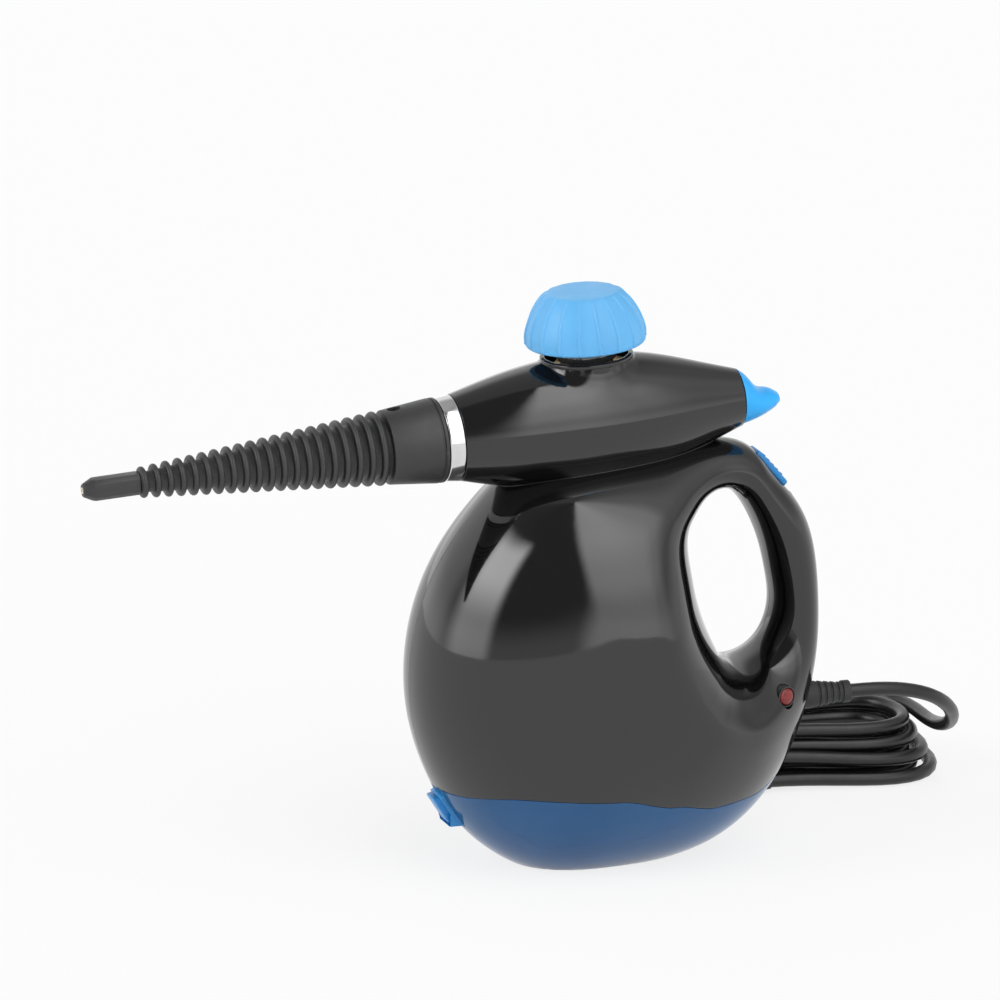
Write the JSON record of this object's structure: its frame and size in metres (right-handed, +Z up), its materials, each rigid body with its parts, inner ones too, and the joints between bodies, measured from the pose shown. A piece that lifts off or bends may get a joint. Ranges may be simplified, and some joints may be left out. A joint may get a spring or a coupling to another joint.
{
  "type": "handheld steam cleaner",
  "caption": "Handheld steam cleaner with a ball-shaped body, loop handle, ribbed tapering nozzle, pressure cap on top, detachable base bowl and a folded mains cord.",
  "frame": {"origin": "middle of the flat foot under the base bowl, on the surface it stands on", "axes": "+Z up, the nozzle points along -X, +Y is the right-hand side seen from behind the handle towards the nozzle"},
  "size_m": [0.409, 0.225, 0.2467],
  "materials": {
    "gloss_black": "glossy moulded, nearly black",
    "matte_black": "fine satin moulding",
    "chrome": "bright plated",
    "cap_blue": "satin sky blue",
    "blue": "semi-gloss bright blue",
    "bowl_blue": "clear tinted, glossy",
    "red": "clear red lens",
    "aluminium": "cast",
    "steel": "bright",
    "brass": "turned",
    "rubber": "moulded matt",
    "silicone": "soft",
    "inner_grey": "moulded",
    "cream": "plain",
    "cord": "smooth sheath, slight sheen"
  },
  "bodies": {
    "housing": {"left_shell": "gloss_black", "right_shell": "gloss_black", "chrome_ring": "chrome", "spout": "matte_black", "spout_seal": "silicone", "boiler_pot": "aluminium", "boiler_lid": "aluminium", "boiler_gasket": "silicone", "boiler_frame": "inner_grey", "boiler_bolt_1": "steel", "boiler_bolt_2": "steel", "boiler_bolt_3": "steel", "boiler_bolt_4": "steel", "heating_element": "steel", "thermostat": "steel", "thermal_fuse": "cream", "neck_nut": "brass", "valve_body": "brass", "steam_pipe": "silicone", "floor_plate": "inner_grey", "housing_screw_1": "steel", "housing_screw_2": "steel", "housing_screw_3": "steel", "housing_screw_4": "steel", "trigger_pin": "steel", "lamp_bezel": "matte_black", "pilot_lens": "red", "lamp_holder": "inner_grey", "strain_relief": "rubber", "cord_clamp": "inner_grey", "terminal_block": "cream", "trigger_spring": "steel", "power_cord": "cord", "cord_hank": "cord", "hank_tie": "rubber", "mains_plug": "rubber", "plug_pin_1": "brass", "plug_pin_2": "brass"},
    "base": {"base_bowl": "bowl_blue", "latch_spring": "steel"},
    "latch": {"base_latch": "blue"},
    "nozzle": {"nozzle_barrel": "matte_black", "nozzle_tip": "matte_black", "jet_insert": "cream"},
    "snap_button": {"snap_button": "steel"},
    "trigger": {"steam_trigger": "blue"},
    "valve_stem": {"valve_stem": "steel"},
    "lock_slider": {"lock_slider": "blue"},
    "cap_seal": {"cap_gasket": "silicone"},
    "cap_washer": {"cap_washer": "steel"},
    "cap_plug": {"cap_plug": "inner_grey", "relief_nut": "brass", "relief_spring": "steel", "cap_spring": "steel"},
    "relief_plunger": {"relief_plunger": "brass"},
    "cap_shell": {"cap_shell": "cap_blue"}
  },
  "joints": [
    {"name": "base_drop", "type": "slide", "parent": "housing", "child": "base", "axis": [0, 0, -1], "range_m": [0, 0.06]},
    {"name": "latch_press", "type": "slide", "parent": "base", "child": "latch", "axis": [1, 0, 0], "range_m": [0, 0.0022], "stiffness_N_per_m": 700, "deforming": ["latch_spring"]},
    {"name": "nozzle_pull", "type": "slide", "parent": "housing", "child": "nozzle", "axis": [-0.9982, 0, -0.0593], "range_m": [0, 0.04]},
    {"name": "snap_press", "type": "slide", "parent": "housing", "child": "snap_button", "axis": [0.0593, 0, -0.9982], "range_m": [0, 0.0022], "stiffness_N_per_m": 400},
    {"name": "trigger_press", "type": "hinge", "parent": "housing", "child": "trigger", "pos_m": [0.06025, 0, 0.18757], "axis": [0, 1, 0], "range_deg": [0, 5], "stiffness_Nm_per_rad": 0.5, "deforming": ["trigger_spring"]},
    {"name": "valve_lift", "type": "slide", "parent": "housing", "child": "valve_stem", "axis": [-0.0593, 0, 0.9982], "range_m": [0, 0.0026]},
    {"name": "lock_slide", "type": "slide", "parent": "housing", "child": "lock_slider", "axis": [0.6561, 0, -0.7547], "range_m": [0, 0.005]},
    {"name": "cap_lift_off", "type": "slide", "parent": "housing", "child": "cap_seal", "axis": [-0.0593, 0, 0.9982], "range_m": [0, 0.05]},
    {"name": "cap_rise", "type": "slide", "parent": "cap_seal", "child": "cap_washer", "axis": [-0.0593, 0, 0.9982], "range_m": [0, 0.0061]},
    {"name": "cap_turn", "type": "hinge", "parent": "cap_washer", "child": "cap_plug", "pos_m": [0.00224, 0, 0.22319], "axis": [-0.0593, 0, 0.9982], "range_deg": [0, 720]},
    {"name": "cap_press", "type": "slide", "parent": "cap_plug", "child": "cap_shell", "axis": [0.0593, 0, -0.9982], "range_m": [0, 0.003], "stiffness_N_per_m": 600, "deforming": ["cap_spring"]},
    {"name": "relief_lift", "type": "slide", "parent": "cap_plug", "child": "relief_plunger", "axis": [-0.0593, 0, 0.9982], "range_m": [0, 0.0015], "stiffness_N_per_m": 900, "deforming": ["relief_spring"]}
  ],
  "couplings": [
    {"joint": "valve_lift", "follows": "trigger_press", "m_per_rad": 0.0285},
    {"joint": "cap_rise", "follows": "cap_turn", "m_per_rad": 0.00047746}
  ]
}
